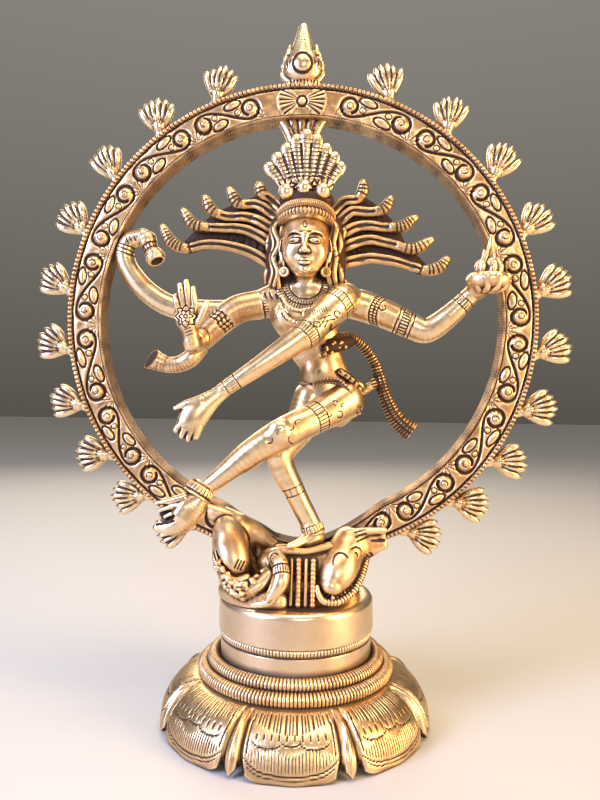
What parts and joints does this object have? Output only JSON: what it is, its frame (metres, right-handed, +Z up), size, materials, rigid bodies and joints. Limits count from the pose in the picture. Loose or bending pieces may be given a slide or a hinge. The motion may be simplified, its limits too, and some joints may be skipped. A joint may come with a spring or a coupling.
{
  "type": "dancing figure statue",
  "caption": "Free-standing cast brass dancing figure with extra arms inside a flaming ring, on a round lotus pedestal.",
  "frame": {"origin": "centre of the flat ring that the pedestal rests on", "axes": "+Z up, the figure faces -Y, +X to the viewer's right"},
  "size_m": [0.1552, 0.0768, 0.1998],
  "materials": {
    "polished": "satin, rubbed bright on the raised parts",
    "worn": "satin, with brown patina in the recesses",
    "patina": "dark brown patina with worn bright ridges"
  },
  "bodies": {
    "root": {"lotus_skirt": "worn", "rope_ring_lower": "polished", "rope_ring_upper": "polished", "drum_collar": "worn", "drum": "polished", "arch_ring": "worn", "crown_strut": "worn", "top_finial": "polished", "flame_left_1": "polished", "flame_left_2": "polished", "flame_left_3": "polished", "flame_left_4": "polished", "flame_left_5": "polished", "flame_left_6": "polished", "flame_left_7": "polished", "flame_left_8": "polished", "flame_left_9": "polished", "flame_left_10": "polished", "flame_right_1": "polished", "flame_right_2": "polished", "flame_right_3": "polished", "flame_right_4": "polished", "flame_right_5": "polished", "flame_right_6": "polished", "flame_right_7": "polished", "flame_right_8": "polished", "flame_right_9": "polished", "flame_right_10": "polished", "makara_left": "worn", "makara_right": "worn", "wave_mound": "patina", "dwarf_body": "worn", "dwarf_arm": "polished", "standing_foot": "polished", "standing_anklet": "worn", "standing_leg": "polished", "raised_leg": "polished", "raised_anklet": "worn", "raised_foot": "polished", "torso": "polished", "necklace": "worn", "hip_belt": "patina", "sash": "patina", "crossing_arm": "polished", "crossing_hand": "polished", "abhaya_arm": "polished", "abhaya_hand": "polished", "cobra_tail": "worn", "drum_arm": "polished", "hand_drum": "worn", "flame_arm": "polished", "flame_bowl": "polished", "head": "polished", "earrings": "worn", "side_locks": "patina", "diadem": "worn", "crown_fan": "polished", "hair_left": "patina", "hair_right": "patina"}
  },
  "joints": []
}
